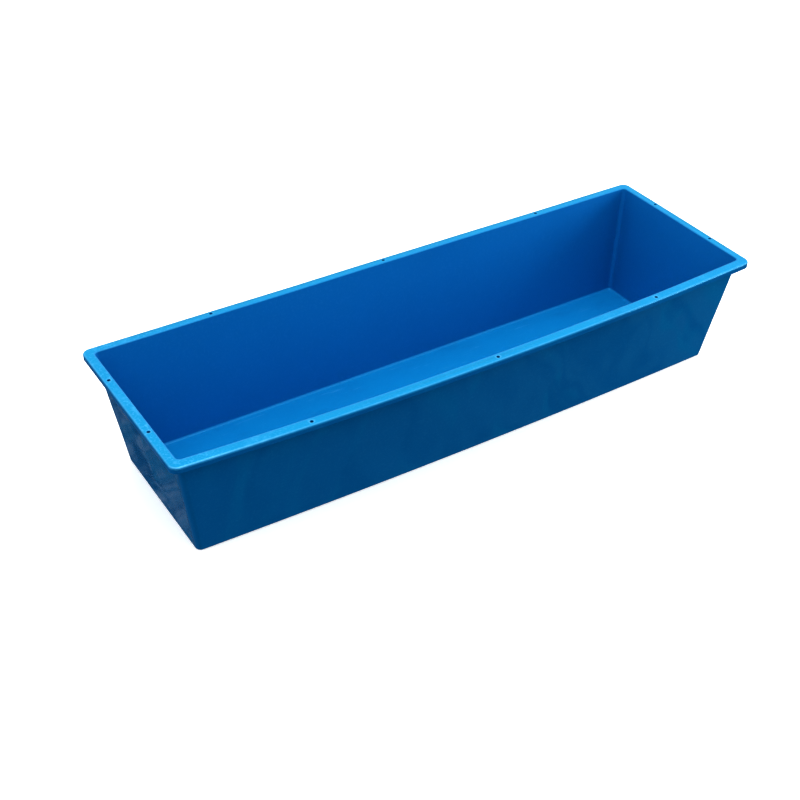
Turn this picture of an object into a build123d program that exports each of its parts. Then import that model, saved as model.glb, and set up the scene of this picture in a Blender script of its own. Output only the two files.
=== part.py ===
from build123d import *
import os

os.makedirs("parts", exist_ok=True)

# Livestock trough: one injection-moulded tapered tray with a turned-down rim.
# Frame: origin on the resting plane at the centre of the nominal base
# rectangle, +X along the length, +Y towards the straight (back) long side,
# +Z up through the open top. Millimetres throughout.

# ---- overall sizes ----
RIM_LENGTH = 985.0       # rim, outside, along X
RIM_WIDTH = 305.0        # rim, outside, along Y, measured at the ends
HEIGHT = 185.0           # resting plane to top of the rim
BASE_LENGTH = 910.0      # outside of the base
BASE_WIDTH = 235.0

# ---- front wall bulge: outward offset at mid-length ----
RIM_BOW = 16.0
BASE_BOW = 7.0

# ---- thicknesses ----
WALL_T = 2.2
FLOOR_T = 3.3
FLANGE_T = 3.3
LIP_T = 2.4

# ---- rim flange and lip ----
FLANGE_LONG = 15.0       # top face width along the long sides
FLANGE_SHORT = 14.0      # top face width along the short ends
LIP_HEIGHT = 10.5        # top of the rim to the bottom of the lip
RIM_CORNER_R = 12.0      # plan radius, outside of the lip
RIM_EDGE_R = 2.5         # roll over the outer top edge
MOUTH_EDGE_R = 1.5       # rounding where the flange meets the inner wall
LIP_EDGE_R = 0.6         # softened lower edge of the lip

# ---- body corners ----
BODY_CORNER_R = 8.5      # outside vertical corners
BASE_EDGE_R = 3.0        # outside, wall to base
FLOOR_EDGE_R = 4.5       # inside, wall to floor

# ---- rim holes ----
HOLE_D = 5.0
LONG_HOLE_PITCH = 295.0  # three holes per long side
END_HOLE_PITCH = 132.0   # two holes per short end

OVERCUT = 5.0            # how far a cutting block runs past an open face


def outline(length, width, bow, corner_r, z):
    """Plan outline at height z: straight back and ends, bowed front, round corners."""
    hx = length / 2
    hy = width / 2
    with BuildSketch(Plane.XY.offset(z)) as sketch:
        with BuildLine():
            ThreePointArc((-hx, -hy), (0, -hy - bow), (hx, -hy))
            Polyline((hx, -hy), (hx, hy), (-hx, hy), (-hx, -hy))
        make_face()
        fillet(sketch.vertices(), corner_r)
    return sketch.sketch


def blend(z):
    """Body half sizes and bow at height z, on the straight taper from base to rim."""
    mouth_length = RIM_LENGTH - 2 * FLANGE_SHORT + 2 * WALL_T
    mouth_width = RIM_WIDTH - 2 * FLANGE_LONG + 2 * WALL_T
    f = z / HEIGHT
    length = BASE_LENGTH + (mouth_length - BASE_LENGTH) * f
    width = BASE_WIDTH + (mouth_width - BASE_WIDTH) * f
    bow = BASE_BOW + (RIM_BOW - BASE_BOW) * f
    return length, width, bow


def tapered(z0, z1, inset):
    """Tapered block between two heights, inset from the outside of the body."""
    sections = []
    for z in (z0, z1):
        length, width, bow = blend(z)
        corner_r = BODY_CORNER_R - inset
        sections.append(outline(length - 2 * inset, width - 2 * inset, bow, corner_r, z))
    return loft(sections, ruled=True)


def rim_block(inset, z0, z1):
    """Straight-sided slab with the rim's plan outline, inset all round."""
    face = outline(RIM_LENGTH - 2 * inset, RIM_WIDTH - 2 * inset, RIM_BOW, RIM_CORNER_R - inset, z0)
    return extrude(face, amount=z1 - z0)


def front_offset(x):
    """How far the front rim stands outside its straight chord at station x."""
    half = RIM_LENGTH / 2
    radius = (half**2 + RIM_BOW**2) / (2 * RIM_BOW)
    return RIM_BOW - radius + (radius**2 - x**2) ** 0.5


def edges_at(shape, z, tol=0.01):
    """Edges lying entirely at height z."""
    found = []
    for edge in shape.edges():
        box = edge.bounding_box()
        if abs(box.min.Z - z) < tol and abs(box.max.Z - z) < tol:
            found.append(edge)
    return found


def mouth_edges(shape):
    """Edges of the top face that lie on the mouth's side of the flange's middle."""
    reach_x = RIM_LENGTH / 2 - FLANGE_SHORT / 2
    reach_y = RIM_WIDTH / 2 + RIM_BOW / 2 - FLANGE_LONG / 2
    found = []
    for edge in edges_at(shape, HEIGHT):
        centre = edge.center()
        if abs(centre.X) < reach_x and abs(centre.Y + RIM_BOW / 2) < reach_y:
            found.append(edge)
    return found


def hole_centres():
    """Plan centres of the ten small rim holes, in the middle of the flange."""
    centres = []
    long_y = RIM_WIDTH / 2 - FLANGE_LONG / 2
    for x in (-LONG_HOLE_PITCH, 0.0, LONG_HOLE_PITCH):
        centres.append((x, long_y))
        centres.append((x, -long_y - front_offset(x)))
    end_x = RIM_LENGTH / 2 - FLANGE_SHORT / 2
    for y in (-END_HOLE_PITCH / 2, END_HOLE_PITCH / 2):
        centres.append((-end_x, y))
        centres.append((end_x, y))
    return centres


# Outer body with its rounded base edge.
body = tapered(0, HEIGHT, 0)
body = fillet(edges_at(body, 0), BASE_EDGE_R)

# Rim slab with rolled outer top edge and softened lower edge.
rim_bottom = HEIGHT - LIP_HEIGHT
rim = rim_block(0, rim_bottom, HEIGHT)
rim = fillet(edges_at(rim, HEIGHT), RIM_EDGE_R)
rim = fillet(edges_at(rim, rim_bottom), LIP_EDGE_R)

# Space between the lip and the wall, open underneath.
under_rim = rim_block(LIP_T, rim_bottom - OVERCUT, HEIGHT - FLANGE_T)

# The hold: an inset taper with a rounded floor edge.
hold = tapered(FLOOR_T, HEIGHT + OVERCUT, WALL_T)
hold = fillet(edges_at(hold, FLOOR_T), FLOOR_EDGE_R)

trough = body + (rim - under_rim) - hold
trough = fillet(mouth_edges(trough), MOUTH_EDGE_R)

# The drill is centred on the top face and runs well past the flange.
drill = Cylinder(HOLE_D / 2, 4 * FLANGE_T)
for x, y in hole_centres():
    trough = trough - Pos(x, y, HEIGHT) * drill

trough.label = "trough"
export_step(trough, "parts/trough.step")
print("volume", round(trough.volume), "mm3; valid", trough.is_valid)
print("solids", len(trough.solids()), "box", trough.bounding_box())
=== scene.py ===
import math

import bpy
from mathutils import Matrix, Vector


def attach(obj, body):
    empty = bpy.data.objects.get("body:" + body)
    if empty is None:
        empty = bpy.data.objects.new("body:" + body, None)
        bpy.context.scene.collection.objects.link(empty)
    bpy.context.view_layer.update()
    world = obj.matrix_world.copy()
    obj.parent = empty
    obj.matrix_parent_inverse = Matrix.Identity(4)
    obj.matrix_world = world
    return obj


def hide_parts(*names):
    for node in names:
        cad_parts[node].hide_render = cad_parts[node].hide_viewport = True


# Livestock trough: one closed shell of quads in place of the frame's single node.
# The trough's sizes below are in millimetres. Everything that Blender holds is in metres.
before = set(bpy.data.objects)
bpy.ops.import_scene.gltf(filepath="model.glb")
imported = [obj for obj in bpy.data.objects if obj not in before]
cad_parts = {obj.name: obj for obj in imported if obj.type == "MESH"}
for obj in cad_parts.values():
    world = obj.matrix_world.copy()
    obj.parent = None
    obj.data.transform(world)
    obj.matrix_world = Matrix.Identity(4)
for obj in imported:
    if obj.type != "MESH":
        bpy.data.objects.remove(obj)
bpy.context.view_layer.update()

# ---------------------------------------------------------------- camera
CAMERA_PLACE = (-0.94621, -1.37248, 1.24876)
CAMERA_AZIMUTH = math.radians(32.912)   # from +Y towards +X
CAMERA_DOWN = math.radians(36.736)
CAMERA_ROLL = math.radians(1.075)
CAMERA_LENS_MM = 59.983
CAMERA_SENSOR_MM = 36.0
CAMERA_CLIP_END = 50.0


def add_camera():
    """Camera at the viewing place, aimed by azimuth and dip, then rolled about its axis."""
    data = bpy.data.cameras.new("camera")
    data.lens = CAMERA_LENS_MM
    data.sensor_width = CAMERA_SENSOR_MM
    data.clip_end = CAMERA_CLIP_END
    camera = bpy.data.objects.new("camera", data)
    bpy.context.scene.collection.objects.link(camera)
    aim = Vector((
        math.sin(CAMERA_AZIMUTH) * math.cos(CAMERA_DOWN),
        math.cos(CAMERA_AZIMUTH) * math.cos(CAMERA_DOWN),
        -math.sin(CAMERA_DOWN),
    ))
    turn = aim.to_track_quat("-Z", "Y").to_matrix() @ Matrix.Rotation(CAMERA_ROLL, 3, "Z")
    camera.matrix_world = Matrix.Translation(CAMERA_PLACE) @ turn.to_4x4()
    return camera


bpy.context.scene.camera = add_camera()

# ------------------------------------------------------ trough sizes, mm
RIM_L = 985.0            # outside of the rim, along X
RIM_W = 305.0            # outside of the rim, along Y, at the ends
HEIGHT = 185.0
BASE_L = 910.0
BASE_W = 235.0
RIM_BOW = 16.0           # front wall's outward offset at mid-length, at the rim
BASE_BOW = 7.0           # and at the base

WALL = 2.2               # thicknesses
FLOOR = 3.3
FLANGE = 3.3
LIP = 2.4

FLANGE_LONG = 15.0       # top face width along the long sides
FLANGE_SHORT = 14.0      # and along the ends
LIP_H = 10.5             # top of the rim to the bottom of the lip

RIM_R = 12.0             # plan radius of the rim's corners
BODY_R = 8.5             # plan radius of the outside vertical corners
MIN_PLAN_R = 1.2         # no plan corner gets sharper than this
EDGE_R = 2.5             # roll over the outer top edge
MOUTH_R = 1.5            # flange to inner wall
LIP_R = 0.6              # lower edges of the lip
UNDER_R = 0.8            # inside corners under the flange
BASE_R = 3.0             # outside, wall to base
FLOOR_R = 4.5            # inside, wall to floor

CROWN = 0.8              # how far the flange falls away at its outer edge
CROWN_REACH = 8.0        # width of the part that falls away
CROWN_POWER = 1.5        # it falls faster towards the edge

HOLE_R = 2.5
HOLE_LIP = 0.35          # softened edge of each hole
HOLE_BEND = 0.3          # share of that edge where it turns down
HALO = 0.5               # width of the pale ring round each hole, partly wear and partly painted highlight
LONG_HOLES = (-295.0, 0.0, 295.0)
END_HOLES = (-66.0, 66.0)

MOUTH_HX = RIM_L / 2 - FLANGE_SHORT
MOUTH_HY = RIM_W / 2 - FLANGE_LONG
UNDER_Z = HEIGHT - FLANGE
LIP_Z = HEIGHT - LIP_H
SLOPE = math.atan((MOUTH_HY - BASE_W / 2) / HEIGHT)

# --------------------------------------------------------- mesh spacing
X_STEP = 10.0            # between stations along a long side, mm
Y_STEP = 8.0             # and along an end
X_REACH = 436.0          # the evenly spaced stations stop here
Y_REACH = 98.0
STRETCH_CELLS = 3        # from there to the start of the corner
CORNER_CELLS = 10        # round each corner
BLOCK = 8.0              # half-length of the flange patch round a hole, mm
BLOCK_CELLS = 8          # along and across that patch
WALL_CELLS = 26          # up each wall
LIP_CELLS = 5            # down the outside of the lip
UNDER_CELLS = 4          # up the inside of the lip
PATCH_RING = 0.9         # ring outside a hole's edge that leads to the patch's square border, mm
PATCH_SQUARENESS = 0.45  # how far that ring is drawn towards the border
UNDER_RING = 0.8         # ring outside the hole under the flange, mm
HOLE_HX = 470.0          # half-length that the waves round the holes fade against, mm


def mix(a, b, t):
    return a + (b - a) * t


def ramp(value, low, high):
    """0 up to low, 1 from high, straight in between."""
    return min(1.0, max(0.0, (value - low) / (high - low)))


# --------------------------------------------------------- plan outlines
def stations_between(a, b, step):
    """Evenly spaced values from a to b, both included, about step apart."""
    count = max(1, round(abs(b - a) / step))
    return [mix(a, b, i / count) for i in range(count + 1)]


def side_stations(centres, reach, step):
    """Stations on one straight side: regular, with an exact block at each hole."""
    values = []
    start = -reach
    for centre in centres:
        values += stations_between(start, centre - BLOCK, step)
        values += [centre - BLOCK + 2 * BLOCK * i / BLOCK_CELLS for i in range(1, BLOCK_CELLS)]
        start = centre + BLOCK
    values += stations_between(start, reach, step)
    return values


X_STATIONS = side_stations(LONG_HOLES, X_REACH, X_STEP)
Y_STATIONS = side_stations(END_HOLES, Y_REACH, Y_STEP)
N_X = len(X_STATIONS) + 2 * STRETCH_CELLS        # points on a long side
N_Y = len(Y_STATIONS) + 2 * STRETCH_CELLS        # points on an end
N_C = CORNER_CELLS - 1                           # points inside a corner
FRONT, RIGHT, BACK, LEFT = range(4)
SIDE_START = (0, N_X + N_C, N_X + N_Y + 2 * N_C, 2 * N_X + N_Y + 3 * N_C)


def stretched_stations(stations, reach, end):
    """The stations plus a few more that stretch out to where the corner starts."""
    out = [mix(reach, end, i / STRETCH_CELLS) for i in range(1, STRETCH_CELLS + 1)]
    return [-value for value in reversed(out)] + list(stations) + out


def ring_points(hx, hy, corner_r, bow, z):
    """One closed loop round the trough, anticlockwise from the left end of the front side."""
    cx, cy = hx - corner_r, hy - corner_r
    xs = stretched_stations(X_STATIONS, X_REACH, cx)
    ys = stretched_stations(Y_STATIONS, Y_REACH, cy)

    def corner(x, y, start):
        angles = [math.radians(start + 90.0 * i / CORNER_CELLS) for i in range(1, CORNER_CELLS)]
        return [(x + corner_r * math.cos(a), y + corner_r * math.sin(a)) for a in angles]

    points = [(x, -hy) for x in xs]
    points += corner(cx, -cy, -90)
    points += [(hx, y) for y in ys]
    points += corner(cx, cy, 0)
    points += [(x, hy) for x in reversed(xs)]
    points += corner(-cx, cy, 90)
    points += [(-hx, y) for y in reversed(ys)]
    points += corner(-cx, -cy, 180)
    bowed = []
    for x, y in points:
        front_share = ramp(y, hy, -hy)
        bowed.append((x, y - bow * (1 - (x / hx) ** 2) * front_share, z))
    return bowed


def wall_ring(z, inset):
    """Ring sizes at height z, inset from the outside of the tapered body."""
    f = z / HEIGHT
    hx = mix(BASE_L / 2, MOUTH_HX + WALL, f) - inset
    hy = mix(BASE_W / 2, MOUTH_HY + WALL, f) - inset
    return hx, hy, max(MIN_PLAN_R, BODY_R - inset), mix(BASE_BOW, RIM_BOW, f), z


def rim_ring(z, inset):
    """Ring sizes at height z, inset from the outside of the rim."""
    return RIM_L / 2 - inset, RIM_W / 2 - inset, max(MIN_PLAN_R, RIM_R - inset), RIM_BOW, z


def between(a, b, t):
    """Ring sizes part of the way from one ring to another."""
    return tuple(mix(p, q, t) for p, q in zip(a, b))


# -------------------------------------------------------- cross-section
section = []                     # (ring sizes, region), from the floor over the rim to the base


def add_ring(sizes, region):
    section.append((sizes, region))
    return len(section) - 1


def add_arc(ring_at, centre, radius, angles, regions, lean=0.0, joined=False):
    """Rings round an arc of the section, one for each region; gives the last one's row.

    The centre is (inset, z). Angles run from the inward direction, upwards positive. An arc
    on the sloping wall leans with it, and a joined arc leaves out its first ring.
    """
    cells = len(regions) if joined else len(regions) - 1
    for i, region in enumerate(regions, start=1 if joined else 0):
        angle = mix(*angles, i / cells)
        rise = radius * math.sin(angle)
        inset = centre[0] + radius * math.cos(angle) + lean * rise
        row = add_ring(ring_at(centre[1] + rise, inset), region)
    return row


def add_run(ring_at, inset, z0, z1, cells, region):
    """Rings strictly between two heights."""
    for i in range(1, cells):
        add_ring(ring_at(mix(z0, z1, i / cells), inset), region)


def add_flat(start, end, region):
    """Rings strictly between two others, a cell of the hole patches apart."""
    for i in range(1, BLOCK_CELLS):
        add_ring(between(start, end, i / BLOCK_CELLS), region)


QUARTER = math.pi / 2
LEAN = math.tan(SLOPE)
RADIUS_ACROSS = 1 / math.cos(SLOPE)      # sloping wall to arc centre, in radii, measured level

# Inside: floor, fillet, wall and the rounded edge of the mouth.
add_arc(
    wall_ring, (WALL + FLOOR_R * RADIUS_ACROSS, FLOOR + FLOOR_R), FLOOR_R,
    (3 * QUARTER, 2 * QUARTER + SLOPE), ["floor"] * 2 + ["fillet"] * 3 + ["inside"] * 2, LEAN,
)
add_run(wall_ring, WALL, FLOOR + FLOOR_R, HEIGHT - MOUTH_R, WALL_CELLS, "inside")
TOP_IN = add_arc(
    wall_ring, (WALL - MOUTH_R * RADIUS_ACROSS, HEIGHT - MOUTH_R), MOUTH_R,
    (-SLOPE, QUARTER), ["inside"] + ["mouth"] * 5, LEAN,
)

# Flange top, rolled edge and lip.
roll_start = rim_ring(HEIGHT, EDGE_R)
add_flat(section[TOP_IN][0], roll_start, "top")
TOP_OUT = add_ring(roll_start, "top")
add_arc(
    rim_ring, (EDGE_R, HEIGHT - EDGE_R), EDGE_R,
    (QUARTER, 2 * QUARTER), ["roll"] * 3 + ["turn"] * 3, joined=True,
)
add_run(rim_ring, 0.0, HEIGHT - EDGE_R, LIP_Z + LIP_R, LIP_CELLS, "lip")
add_arc(rim_ring, (LIP_R, LIP_Z + LIP_R), LIP_R, (2 * QUARTER, 3 * QUARTER), ["lip"] * 4)
add_arc(rim_ring, (LIP - LIP_R, LIP_Z + LIP_R), LIP_R, (3 * QUARTER, 4 * QUARTER), ["under"] * 4)

# Hollow under the flange.
add_run(rim_ring, LIP, LIP_Z + LIP_R, UNDER_Z - UNDER_R, UNDER_CELLS, "under")
BOT_OUT = add_arc(
    rim_ring, (LIP + UNDER_R, UNDER_Z - UNDER_R), UNDER_R,
    (2 * QUARTER, QUARTER), ["under"] * 4,
)
wall_foot = wall_ring(UNDER_Z, -UNDER_R)
add_flat(section[BOT_OUT][0], wall_foot, "under")
BOT_IN = add_ring(wall_foot, "under")
add_arc(
    wall_ring, (-UNDER_R, UNDER_Z - UNDER_R), UNDER_R,
    (QUARTER, 0.0), ["outside"] * 3, joined=True,
)

# Outside: wall and rounded base edge.
add_run(wall_ring, 0.0, UNDER_Z - UNDER_R, BASE_R, WALL_CELLS, "outside")
add_arc(
    wall_ring, (BASE_R * RADIUS_ACROSS, BASE_R), BASE_R,
    (2 * QUARTER - SLOPE, 3 * QUARTER), ["outside"] * 5 + ["base"] * 2, LEAN,
)

# ----------------------------------------------------------- small warps
# Each wave is (height in mm, radians per mm along, radians per mm up or across, phase).
LONG_WAVES = ((0.42, 0.0142, 0.0, 0.7), (0.26, 0.0331, 0.011, 2.1), (0.13, 0.071, -0.023, 0.4))
END_WAVES = ((0.22, 0.026, 0.031, 1.3), (0.07, 0.055, 0.066, 0.2), (0.10, 0.035, -0.012, 2.0))
RIM_WAVES = ((0.22, 0.0121, 0.0, 0.9), (0.12, 0.027, 0.02, 0.0))
RIM_SINK = 0.3           # brings the rim's crests down to about the trough's height, mm
RIM_WAVES_FROM = 0.9     # share of the height where the rim's waves begin
LONG_FADE_POWER = 8      # the long walls' waves fade only near the ends
END_FADE = 1.02          # and the end walls' waves stop short of the long walls


def waves(table, a, b):
    return sum(size * math.sin(a * turn_a + b * turn_b + phase) for size, turn_a, turn_b, phase in table)


def rim_gap(x, y):
    """Plan distance inwards from the outer edge of the rim."""
    gap_x = RIM_L / 2 - abs(x)
    if y > 0:
        gap_y = RIM_W / 2 - y
    else:
        gap_y = RIM_W / 2 + y + RIM_BOW * (1 - (x / (RIM_L / 2)) ** 2)
    if gap_x < RIM_R and gap_y < RIM_R:
        return RIM_R - math.hypot(RIM_R - gap_x, RIM_R - gap_y)
    return min(gap_x, gap_y)


def crown(x, y, z):
    """How far the outer half of the flange falls away below its inner half."""
    lifted = ramp(z, LIP_Z, HEIGHT - EDGE_R)
    outwards = ramp(rim_gap(x, y), CROWN_REACH, 0.0)
    return CROWN * lifted * outwards ** CROWN_POWER


def warp(x, y, z, hx):
    """Slow sub-millimetre waves that a thin moulded wall always has."""
    up = ramp(z, 0.0, HEIGHT)
    belly = math.sin(math.pi * up)
    on_long_wall = max(0.0, 1 - (x / hx) ** LONG_FADE_POWER)
    on_end_wall = max(0.0, 1 - on_long_wall * END_FADE)
    dx = math.copysign(belly, x) * waves(END_WAVES, y, z) * on_end_wall
    dy = math.copysign(belly, y) * waves(LONG_WAVES, x, z) * on_long_wall
    near_rim = ramp(up, RIM_WAVES_FROM, 1.0)
    dz = near_rim * (waves(RIM_WAVES, x, y) - RIM_SINK)
    return x + dx, y + dy, z + dz - crown(x, y, z)


# ------------------------------------------------------------------ mesh
verts = []
faces = []
regions = []


def put(x, y, z, region, hx=HOLE_HX):
    """Add one warped point, given in millimetres."""
    verts.append(tuple(c / 1000.0 for c in warp(x, y, z, hx)))
    regions.append(region)
    return len(verts) - 1


def add_band(loop_a, loop_b, skip=lambda k: False):
    """Quads between two closed loops with the same number of points."""
    count = len(loop_a)
    for k in range(count):
        if not skip(k):
            n = (k + 1) % count
            faces.append((loop_a[k], loop_b[k], loop_b[n], loop_a[n]))


def hole_blocks():
    """(first ring point of the patch, hole centre) for each of the ten holes."""
    blocks = []
    for side in (FRONT, RIGHT, BACK, LEFT):
        long_side = side in (FRONT, BACK)
        stations = X_STATIONS if long_side else Y_STATIONS
        count = N_X if long_side else N_Y
        for along in (LONG_HOLES if long_side else END_HOLES):
            nearest = min(range(len(stations)), key=lambda k: abs(stations[k] - (along - BLOCK)))
            first = nearest + STRETCH_CELLS
            if side in (BACK, LEFT):
                first = count - 1 - (first + BLOCK_CELLS)
            if side == FRONT:
                bow = RIM_BOW * (1 - (along / (RIM_L / 2)) ** 2)
                centre = (along, -(RIM_W / 2 - FLANGE_LONG / 2) - bow)
            elif side == BACK:
                centre = (along, RIM_W / 2 - FLANGE_LONG / 2)
            else:
                out = RIM_L / 2 - FLANGE_SHORT / 2
                centre = (out if side == RIGHT else -out, along)
            blocks.append((SIDE_START[side] + first, centre))
    return blocks


BLOCKS = hole_blocks()
grid = [[put(*point, region, sizes[0]) for point in ring_points(*sizes)] for sizes, region in section]


def in_patch(row, k):
    """Whether the quad after ring point k, in this row, belongs to a hole's patch."""
    on_flange = TOP_IN <= row < TOP_OUT or BOT_OUT <= row < BOT_IN
    return on_flange and any(first <= k < first + BLOCK_CELLS for first, _ in BLOCKS)


for row in range(len(grid) - 1):
    add_band(grid[row], grid[row + 1], lambda k: in_patch(row, k))


def patch_border(row_a, row_b, first):
    """Border points of a flange patch, round in one direction."""
    step = 1 if row_b > row_a else -1
    cells = range(BLOCK_CELLS)
    border = [grid[row_a][first + i] for i in cells]
    border += [grid[row_a + step * i][first + BLOCK_CELLS] for i in cells]
    border += [grid[row_b][first + BLOCK_CELLS - i] for i in cells]
    border += [grid[row_b - step * i][first] for i in cells]
    return border


def add_hole(first, centre):
    """Quad patches round one hole, above and below, joined by the hole's wall."""
    cx, cy = centre
    top = patch_border(TOP_IN, TOP_OUT, first)
    bottom = patch_border(BOT_IN, BOT_OUT, first)
    count = len(top)
    start, second = (math.atan2(verts[v][1] * 1000 - cy, verts[v][0] * 1000 - cx) for v in top[:2])
    way = math.copysign(1.0, math.sin(second - start))
    angles = [start + way * 2 * math.pi * i / count for i in range(count)]

    def circle(radius, z, region, squareness=0.0):
        """Points round the hole, drawn part of the way out to the patch's square border."""
        loop = []
        for v, angle in zip(top, angles):
            x = mix(cx + radius * math.cos(angle), verts[v][0] * 1000, squareness)
            y = mix(cy + radius * math.sin(angle), verts[v][1] * 1000, squareness)
            loop.append(put(x, y, z, region))
        return loop

    edge_r = HOLE_R + HOLE_LIP
    bend = HOLE_LIP * HOLE_BEND
    loops = [
        top,
        circle(edge_r + PATCH_RING, HEIGHT, "top", PATCH_SQUARENESS),
        circle(edge_r + HALO, HEIGHT, "halo"),
        circle(edge_r, HEIGHT, "halo"),
        circle(HOLE_R + bend, HEIGHT - bend, "halo"),
        circle(HOLE_R, HEIGHT - HOLE_LIP, "bore"),
        circle(HOLE_R, (HEIGHT + UNDER_Z) / 2, "bore"),
        circle(HOLE_R, UNDER_Z, "bore"),
        circle(HOLE_R + UNDER_RING, UNDER_Z, "under"),
        bottom,
    ]
    for loop_a, loop_b in zip(loops, loops[1:]):
        add_band(loop_a, loop_b)


for first, centre in BLOCKS:
    add_hole(first, centre)


def add_sheet(loop, z, region, facing_down):
    """Close a ring with a flat sheet of quads whose corners are the middles of its corners."""
    nx = N_X - 1 + CORNER_CELLS
    ny = N_Y - 1 + CORNER_CELLS
    turned = loop[-(CORNER_CELLS // 2):] + loop[:-(CORNER_CELLS // 2)]
    south = turned[:nx + 1]
    east = turned[nx:nx + ny + 1]
    north = turned[nx + ny:2 * nx + ny + 1][::-1]
    west = (turned[2 * nx + ny:] + turned[:1])[::-1]

    def inner_point(i, j):
        """Borders blended across both ways, less the blend of the four corners."""
        u, v = i / nx, j / ny
        plan = []
        for axis in (0, 1):
            lower, upper = verts[south[i]][axis], verts[north[i]][axis]
            left, right = verts[west[j]][axis], verts[east[j]][axis]
            lower_corners = mix(verts[south[0]][axis], verts[south[nx]][axis], u)
            upper_corners = mix(verts[north[0]][axis], verts[north[nx]][axis], u)
            both_ways = mix(lower, upper, v) + mix(left, right, u)
            plan.append(both_ways - mix(lower_corners, upper_corners, v))
        verts.append((plan[0], plan[1], z / 1000.0))
        regions.append(region)
        return len(verts) - 1

    sheet = [south]
    for j in range(1, ny):
        sheet.append([west[j]] + [inner_point(i, j) for i in range(1, nx)] + [east[j]])
    sheet.append(north)
    for row_a, row_b in zip(sheet, sheet[1:]):
        for i in range(nx):
            quad = (row_a[i], row_a[i + 1], row_b[i + 1], row_b[i])
            faces.append(quad[::-1] if facing_down else quad)


add_sheet(grid[0], FLOOR, "floor", facing_down=False)
add_sheet(grid[-1], 0.0, "base", facing_down=True)

# The grid points inside the flange patches carry no face, so they are dropped.
used = sorted({v for face in faces for v in face})
new_index = {v: i for i, v in enumerate(used)}
points = [verts[v] for v in used]
point_regions = [regions[v] for v in used]

mesh = bpy.data.meshes.new("trough_shell")
mesh.from_pydata(points, [], [tuple(new_index[v] for v in face) for face in faces])
mesh.validate()
mesh.update()
for polygon in mesh.polygons:
    polygon.use_smooth = True

# --------------------------------------------- weights the material reads
REGION_WEIGHTS = {
    "outer": {"outside": 1.0, "lip": 1.0, "base": 1.0, "roll": 0.6, "turn": 0.8, "under": 1.0},
    "edge": {"roll": 1.0, "turn": 0.15, "mouth": 0.6, "halo": 1.0, "fillet": 0.3},
    "bed": {"floor": 1.0, "fillet": 0.9},
    "rim": {"top": 1.0, "halo": 1.0, "roll": 0.9, "turn": 0.35, "mouth": 0.5},
    "painted_lip_shade": {"lip": 1.0},
}
CORNER_SHADE_DEPTH = 0.6       # strength of the painted shade beside an inner vertical corner
CORNER_SHADE_FADE = 14.0       # distance over which it fades away from the corner, mm
CORNER_SHADE_FROM = 4.0        # it rises between these two distances, mm
CORNER_SHADE_FULL = 12.0
FLANGE_SHADE_FROM = 0.40        # outer painted shade strip: share of the flange's width where it starts
FLANGE_SHADE_FULL = 0.70        # and where it is full
FLANGE_SHADE_END_FADE = 70.0    # it fades over this much of a long side, mm
FLANGE_SHADE_SIDE_FADE = 50.0   # and over this much of an end, mm
FRONT_SHADE_DEPTH = 0.8       # strength of the painted shade strip on the front flange
FRONT_SHADE_ACROSS = 0.45     # share of the flange's width at its middle
FRONT_SHADE_SPREAD = 0.25     # and how far it spreads to either side
FRONT_SHADE_X = -60.0         # where along the front it is strongest, mm
FRONT_SHADE_REACH = 150.0     # and how far along it fades, mm


def painted_corner_shade(x, y, z, region):
    """Painted shade: a soft dark band on the inner walls beside each vertical corner."""
    if region != "inside":
        return 0.0
    hx, hy = wall_ring(z, WALL)[:2]
    gap = math.hypot(hx - abs(x), hy - abs(y))
    return CORNER_SHADE_DEPTH * math.exp(-gap / CORNER_SHADE_FADE) * ramp(gap, CORNER_SHADE_FROM, CORNER_SHADE_FULL)


def painted_flange_shade(x, y, z, region):
    """Painted shade: a duller strip along the flange, mid-width at the front, outer half at the back and
    right.
    """
    if region not in ("top", "halo", "roll", "mouth"):
        return 0.0
    across = 1.0 - rim_gap(x, y) / FLANGE_LONG
    outer = ramp(across, FLANGE_SHADE_FROM, FLANGE_SHADE_FULL)
    to_end = RIM_L / 2 - abs(x)
    to_side = RIM_W / 2 - abs(y)
    if to_side >= to_end:
        return outer * min(1.0, to_side / FLANGE_SHADE_SIDE_FADE) if x > 0 else 0.0
    if y > 0:
        return outer * min(1.0, to_end / FLANGE_SHADE_END_FADE)
    middle = max(0.0, 1.0 - abs(across - FRONT_SHADE_ACROSS) / FRONT_SHADE_SPREAD)
    return FRONT_SHADE_DEPTH * math.exp(-((x - FRONT_SHADE_X) / FRONT_SHADE_REACH) ** 2) * middle


def store_weight(name, values):
    mesh.attributes.new(name, "FLOAT", "POINT").data.foreach_set("value", values)


for name, weights in REGION_WEIGHTS.items():
    store_weight(name, [weights.get(region, 0.0) for region in point_regions])
for name, weight_at in (("painted_corner_shade", painted_corner_shade), ("painted_flange_shade", painted_flange_shade)):
    values = []
    for point, region in zip(points, point_regions):
        x, y, z = (c * 1000 for c in point)
        values.append(weight_at(x, y, z, region))
    store_weight(name, values)

trough = bpy.data.objects.new("trough_shell", mesh)
bpy.context.scene.collection.objects.link(trough)
weighted = trough.modifiers.new("weighted_normals", "WEIGHTED_NORMAL")
weighted.keep_sharp = True
weighted.weight = 100


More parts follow.
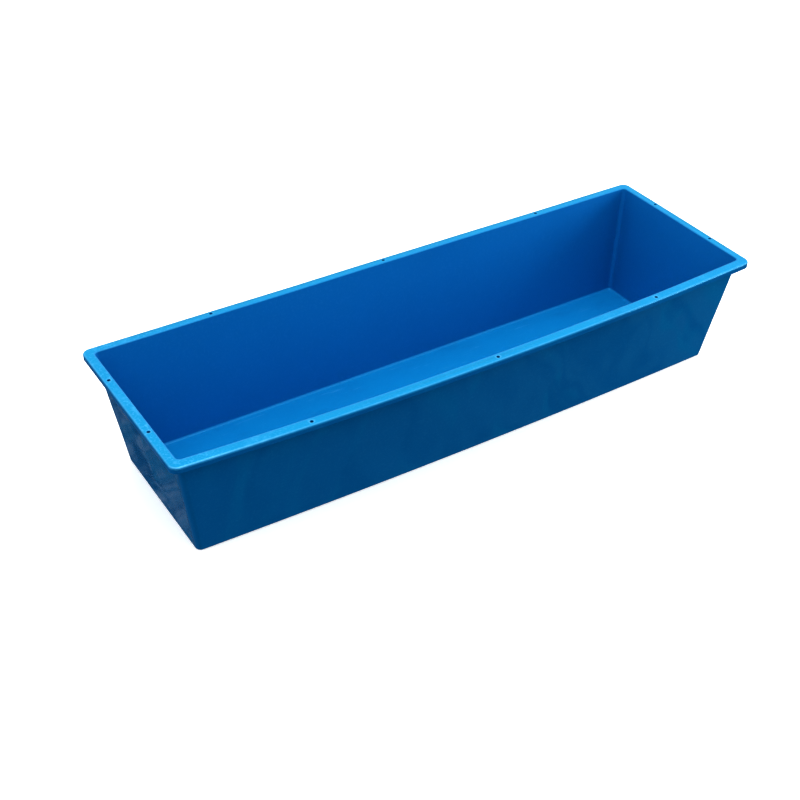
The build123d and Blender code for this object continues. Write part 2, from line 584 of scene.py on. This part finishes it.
# ----------------------------------------------------------- node helpers
class Nodes:
    """Adds nodes to one tree and gives back the output that the next node needs."""

    def __init__(self, tree):
        self.tree = tree
        tree.nodes.clear()

    def add(self, kind, **settings):
        made = self.tree.nodes.new(kind)
        for key, value in settings.items():
            setattr(made, key, value)
        return made

    def feed(self, socket, value):
        """Link another node's output to the socket, or set the socket to a plain value."""
        if isinstance(value, bpy.types.NodeSocket):
            self.tree.links.new(value, socket)
        else:
            socket.default_value = value

    def noise(self, vector, scale, detail, roughness=0.5, distortion=0.0):
        made = self.add("ShaderNodeTexNoise")
        self.feed(made.inputs["Vector"], vector)
        self.feed(made.inputs["Scale"], scale)
        self.feed(made.inputs["Detail"], detail)
        self.feed(made.inputs["Roughness"], roughness)
        self.feed(made.inputs["Distortion"], distortion)
        return made.outputs["Fac"]

    def remap(self, value, low, high, out_low=0.0, out_high=1.0):
        """Clamped straight line from (low, high) to (out_low, out_high)."""
        made = self.add("ShaderNodeMapRange", clamp=True)
        self.feed(made.inputs["Value"], value)
        self.feed(made.inputs["From Min"], low)
        self.feed(made.inputs["From Max"], high)
        self.feed(made.inputs["To Min"], out_low)
        self.feed(made.inputs["To Max"], out_high)
        return made.outputs["Result"]

    def maths(self, operation, *values):
        made = self.add("ShaderNodeMath", operation=operation)
        for socket, value in zip(made.inputs, values):
            self.feed(socket, value)
        return made.outputs["Value"]

    def blend(self, factor, a, b):
        """Colour a where the factor is 0, colour b where it is 1."""
        made = self.add("ShaderNodeMix", data_type="RGBA")
        self.feed(made.inputs["Factor"], factor)
        self.feed(made.inputs[6], a)
        self.feed(made.inputs[7], b)
        return made.outputs[2]

    def mapped(self, vector, scale, place=(0.0, 0.0, 0.0), turn=0.0):
        made = self.add("ShaderNodeMapping")
        self.feed(made.inputs["Vector"], vector)
        self.feed(made.inputs["Location"], place)
        self.feed(made.inputs["Rotation"], (0.0, 0.0, turn))
        self.feed(made.inputs["Scale"], scale)
        return made.outputs["Vector"]

    def split(self, vector):
        made = self.add("ShaderNodeSeparateXYZ")
        self.feed(made.inputs["Vector"], vector)
        return made.outputs

    def weight(self, name):
        return self.add("ShaderNodeAttribute", attribute_name=name).outputs["Fac"]

    def bump(self, height, strength, distance, normal=None):
        made = self.add("ShaderNodeBump")
        self.feed(made.inputs["Height"], height)
        self.feed(made.inputs["Strength"], strength)
        self.feed(made.inputs["Distance"], distance)
        if normal is not None:
            self.feed(made.inputs["Normal"], normal)
        return made.outputs["Normal"]


# --------------------------------------------------------------- plastic
# The floor and rim blues are lighter than the wall blues partly as painted light: faces that look up are
# painted as lit.
WALL_BLUE = (0.001, 0.178, 0.460, 1.0)
OUTER_BLUE = (0.001, 0.164, 0.420, 1.0)
LIT_FLOOR_BLUE = (0.001, 0.262, 0.560, 1.0)
LIT_RIM_BLUE = (0.001, 0.278, 0.520, 1.0)
WORN_BLUE = (0.110, 0.470, 0.760, 1.0)
FLANGE_SHADE_BLUE = (0.001, 0.200, 0.370, 1.0)
EDGE_WEAR_AND_HIGHLIGHT_BLUE = (0.150, 0.480, 0.750, 1.0)
# Deep blue serves the random clouds, the painted shade in the corners and on the lip, and the floor's
# smudges.
DEEP_BLUE = (0.001, 0.120, 0.340, 1.0)

FLANGE_SHADE_SHARE = 0.55             # how far each mark takes the blue towards its own colour
CLOUD_SHARE = 0.14
LIP_SHADE_SHARE = 0.40
RUB_SHARE = 0.70
SCRATCH_SHARE = 0.45
SMUDGE_SHARE = 0.22

INNER_ROUGHNESS = 0.42
OUTER_ROUGHNESS = 0.04
SHINE_SWING = 0.02             # uneven roughness, either way
SCUFF_ROUGHNESS = 0.05
SINK_MARK_DEPTH = 0.00002      # metres
GRAIN_DEPTH = 0.00005
GRAIN_STRENGTH = 0.30
PLASTIC_IOR = 1.49
GLOSS_TINT = (0.22, 0.72, 1.0, 1.0)


def plastic_colour(nodes, place, scuffs):
    """Blue by region, with the floor and rim painted lighter as lit faces; then painted shade on the
    flange, in the inner corners and on the lip, clouds and dirt; then wear on the rim, wear and a
    painted highlight on its edges, and marks on the floor.
    """
    x, y, _ = nodes.split(place)
    rim = nodes.weight("rim")
    bed = nodes.weight("bed")

    def times(a, b):
        return nodes.maths("MULTIPLY", a, b)

    colour = nodes.blend(nodes.weight("outer"), WALL_BLUE, OUTER_BLUE)
    # Painted light: the floor and rim get lighter blues than the walls, as lit faces.
    colour = nodes.blend(bed, colour, LIT_FLOOR_BLUE)
    colour = nodes.blend(rim, colour, LIT_RIM_BLUE)
    # Painted shade: a duller strip along the flange.
    colour = nodes.blend(times(nodes.weight("painted_flange_shade"), FLANGE_SHADE_SHARE), colour, FLANGE_SHADE_BLUE)

    clouds = nodes.remap(nodes.noise(place, scale=8.0, detail=3.0, roughness=0.55), 0.3, 0.7)
    colour = nodes.blend(times(clouds, CLOUD_SHARE), colour, DEEP_BLUE)
    # Painted shade beside the inner vertical corners.
    colour = nodes.blend(nodes.weight("painted_corner_shade"), colour, DEEP_BLUE)
    # Painted shade: the lip is darkened, as if under the rolled edge.
    colour = nodes.blend(times(nodes.weight("painted_lip_shade"), LIP_SHADE_SHARE), colour, DEEP_BLUE)

    # The rim is worn most at the left end.
    handling = nodes.remap(nodes.noise(place, scale=9.0, detail=2.0), 0.35, 0.65, 0.3, 1.0)
    towards_left = nodes.remap(x, -0.46, -0.30, 1.0, 0.15)
    wear = times(rim, times(handling, towards_left))
    speckle = nodes.remap(nodes.noise(place, scale=260.0, detail=3.0, roughness=0.65), 0.52, 0.66)
    speckle = times(speckle, nodes.remap(wear, 0.0, 1.0, 0.04, 0.75))
    colour = nodes.blend(speckle, colour, WORN_BLUE)
    rubbed = nodes.remap(nodes.noise(place, scale=46.0, detail=5.0, roughness=0.65), 0.52, 0.68)
    colour = nodes.blend(times(rubbed, times(wear, RUB_SHARE)), colour, WORN_BLUE)

    # The rounded edges are paler, partly from wear and partly as a painted highlight, most along the
    # front and at its left corner.
    patchy = nodes.remap(nodes.noise(place, scale=70.0, detail=4.0, roughness=0.6), 0.38, 0.62, 0.6, 1.0)
    towards_front = nodes.remap(y, -0.150, -0.138, 1.0, 0.35)
    towards_corner = nodes.remap(x, -0.48, -0.30, 0.95, 0.38)
    edge_wear_and_highlight = times(times(nodes.weight("edge"), patchy), times(towards_front, towards_corner))
    colour = nodes.blend(edge_wear_and_highlight, colour, EDGE_WEAR_AND_HIGHLIGHT_BLUE)

    # The floor is scratched pale and smudged dark.
    colour = nodes.blend(times(times(scuffs, bed), SCRATCH_SHARE), colour, WORN_BLUE)
    smudges = nodes.noise(nodes.mapped(place, (0.6, 1.2, 1.0)), scale=24.0, detail=4.0, roughness=0.6)
    smudges = nodes.remap(smudges, 0.55, 0.75)
    return nodes.blend(times(times(smudges, bed), SMUDGE_SHARE), colour, DEEP_BLUE)


def plastic_roughness(nodes, place, scuffs):
    """Matt inside, glossy outside, uneven everywhere and rougher where it is scuffed."""
    skin = nodes.remap(nodes.weight("outer"), 0.0, 1.0, INNER_ROUGHNESS, OUTER_ROUGHNESS)
    shine = nodes.noise(place, scale=14.0, detail=4.0, roughness=0.6)
    shine = nodes.remap(shine, 0.3, 0.7, -SHINE_SWING, SHINE_SWING)
    rough = nodes.maths("ADD", skin, shine)
    return nodes.maths("ADD", rough, nodes.maths("MULTIPLY", scuffs, SCUFF_ROUGHNESS))


def plastic_normal(nodes, place):
    """Slow sink marks in the glossy skin, and fine mould grain on the matt one."""
    outer = nodes.weight("outer")
    marks = nodes.noise(nodes.mapped(place, (0.8, 1.0, 1.3)), scale=14.0, detail=2.0)
    marked = nodes.bump(marks, outer, SINK_MARK_DEPTH)
    grain = nodes.noise(place, scale=900.0, detail=3.0, roughness=0.6)
    return nodes.bump(grain, nodes.remap(outer, 0.0, 1.0, GRAIN_STRENGTH, 0.0), GRAIN_DEPTH, marked)


def plastic():
    material = bpy.data.materials.new("blue_moulded_plastic")
    material.use_nodes = True
    nodes = Nodes(material.node_tree)
    place = nodes.add("ShaderNodeTexCoord").outputs["Object"]
    streaked = nodes.mapped(place, (0.30, 2.6, 1.0), turn=0.30)
    scuffs = nodes.remap(nodes.noise(streaked, scale=60.0, detail=6.0, roughness=0.72), 0.60, 0.74)

    shader = nodes.add("ShaderNodeBsdfPrincipled")
    nodes.feed(shader.inputs["Base Color"], plastic_colour(nodes, place, scuffs))
    nodes.feed(shader.inputs["Roughness"], plastic_roughness(nodes, place, scuffs))
    nodes.feed(shader.inputs["Normal"], plastic_normal(nodes, place))
    nodes.feed(shader.inputs["IOR"], PLASTIC_IOR)
    nodes.feed(shader.inputs["Specular Tint"], GLOSS_TINT)
    output = nodes.add("ShaderNodeOutputMaterial")
    nodes.feed(output.inputs["Surface"], shader.outputs["BSDF"])
    return material


mesh.materials.append(plastic())
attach(trough, "root")
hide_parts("trough")

# ----------------------------------------------------------------- stage
FLOOR_SPAN = 60.0        # half-width of the pale floor, metres
FLOOR_DROP = 0.0004      # below the trough's base, metres
FLOOR_WHITE = (0.88, 0.88, 0.88, 1.0)
FLOOR_GLOW = 0.36        # keeps it white with only a faint contact shadow


def pale_floor():
    """Plain floor that the trough neither mirrors nor takes bounced light from."""
    corners = [(-1, -1), (1, -1), (1, 1), (-1, 1)]
    sheet = bpy.data.meshes.new("stage_floor")
    places = [(FLOOR_SPAN * x, FLOOR_SPAN * y, -FLOOR_DROP) for x, y in corners]
    sheet.from_pydata(places, [], [(0, 1, 2, 3)])
    material = bpy.data.materials.new("pale_floor")
    material.use_nodes = True
    shader = material.node_tree.nodes["Principled BSDF"]
    shader.inputs["Base Color"].default_value = FLOOR_WHITE
    shader.inputs["Roughness"].default_value = 0.9
    shader.inputs["Specular IOR Level"].default_value = 0.1
    shader.inputs["Emission Color"].default_value = (1.0, 1.0, 1.0, 1.0)
    shader.inputs["Emission Strength"].default_value = FLOOR_GLOW
    sheet.materials.append(material)
    floor = bpy.data.objects.new("stage_floor", sheet)
    bpy.context.scene.collection.objects.link(floor)
    floor.visible_diffuse = False
    floor.visible_glossy = False
    return floor


pale_floor()

# -------------------------------------------------------------- lighting
SKY_HORIZON, SKY_ZENITH = 0.77, 2.20
GROUND_FRONT = (0.03, 0.14, 0.20, 1.0)
GROUND_RIGHT = (0.08, 0.30, 0.30, 1.0)
GROUND_BACK = (0.03, 0.14, 0.20, 1.0)
GROUND_WARM = (0.28, 0.30, 0.32, 1.0)
GROUND_TEAL = (0.02, 0.42, 0.40, 1.0)
GROUND_DARK = (0.01, 0.02, 0.03, 1.0)
PATCH_STRETCH = (2.2, 1.0, 1.0)


def ground_patches(nodes, way, scale, place):
    """Uneven patches in the ground, told by the direction they are seen in."""
    return nodes.noise(nodes.mapped(way, PATCH_STRETCH, place), scale, detail=4.0, distortion=1.5)


def ground_colour(nodes, way, x, y):
    """Dark and uneven: bluish and teal ahead of the trough, grey-brown and darker behind it."""
    warm = nodes.remap(ground_patches(nodes, way, 70.0, (0.0, 0.0, 0.0)), 0.48, 0.56)
    dark = nodes.remap(ground_patches(nodes, way, 48.0, (3.0, 1.0, 0.0)), 0.42, 0.48, 0.95, 0.0)
    # Thin winding bands lie where the patches cross their middle value.
    bands = nodes.maths("COMPARE", ground_patches(nodes, way, 32.0, (1.0, 5.0, 2.0)), 0.5, 0.014)
    behind = nodes.blend(warm, GROUND_BACK, GROUND_WARM)
    behind = nodes.blend(dark, behind, GROUND_DARK)
    behind = nodes.blend(bands, behind, GROUND_DARK)

    teal = nodes.remap(ground_patches(nodes, way, 9.0, (2.0, 4.0, 1.0)), 0.50, 0.62, 0.0, 0.8)
    dark = nodes.remap(ground_patches(nodes, way, 14.0, (6.0, 2.0, 3.0)), 0.42, 0.50, 0.8, 0.0)
    ahead = nodes.blend(nodes.remap(x, 0.3, 0.7), GROUND_FRONT, GROUND_RIGHT)
    ahead = nodes.blend(teal, ahead, GROUND_TEAL)
    ahead = nodes.blend(dark, ahead, GROUND_DARK)
    return nodes.blend(nodes.remap(y, 0.0, 0.4), ahead, behind)


def soft_studio():
    """Bright overhead, dimmer towards the horizon, dark and uneven below it."""
    world = bpy.data.worlds.new("soft_studio")
    world.use_nodes = True
    nodes = Nodes(world.node_tree)
    way = nodes.add("ShaderNodeTexCoord").outputs["Generated"]
    x, y, z = nodes.split(way)
    sky = nodes.add("ShaderNodeCombineColor")
    brightness = nodes.remap(z, 0.4, 1.0, SKY_HORIZON, SKY_ZENITH)
    for channel in ("Red", "Green", "Blue"):
        nodes.feed(sky.inputs[channel], brightness)
    above_horizon = nodes.remap(z, -0.08, -0.04)
    whole = nodes.blend(above_horizon, ground_colour(nodes, way, x, y), sky.outputs["Color"])
    background = nodes.add("ShaderNodeBackground")
    nodes.feed(background.inputs["Color"], whole)
    output = nodes.add("ShaderNodeOutputWorld")
    nodes.feed(output.inputs["Surface"], background.outputs["Background"])
    return world


def area_light(name, place, target, size, power):
    """Rectangular lamp at a place, aimed at a target; metres and watts."""
    data = bpy.data.lights.new(name, "AREA")
    data.shape = "RECTANGLE"
    data.size, data.size_y = size
    data.energy = power
    lamp = bpy.data.objects.new(name, data)
    bpy.context.scene.collection.objects.link(lamp)
    aim = Vector(target) - Vector(place)
    lamp.matrix_world = Matrix.Translation(place) @ aim.to_track_quat("-Z", "Y").to_matrix().to_4x4()


bpy.context.scene.world = soft_studio()
area_light("overhead", (0.1, 0.2, 3.0), (0.0, 0.0, 0.0), (0.6, 0.6), 16.0)
area_light("right_fill", (1.9, -1.3, 0.75), (0.3, 0.0, 0.1), (1.0, 0.8), 22.0)
area_light("left_fill", (-2.4, 0.5, 0.22), (-0.5, 0.0, 0.1), (1.6, 0.4), 12.0)

bpy.context.scene.view_settings.view_transform = "Standard"
bpy.context.scene.view_settings.look = "None"
bpy.context.scene.view_settings.gamma = 0.75      # the contrast of a product picture
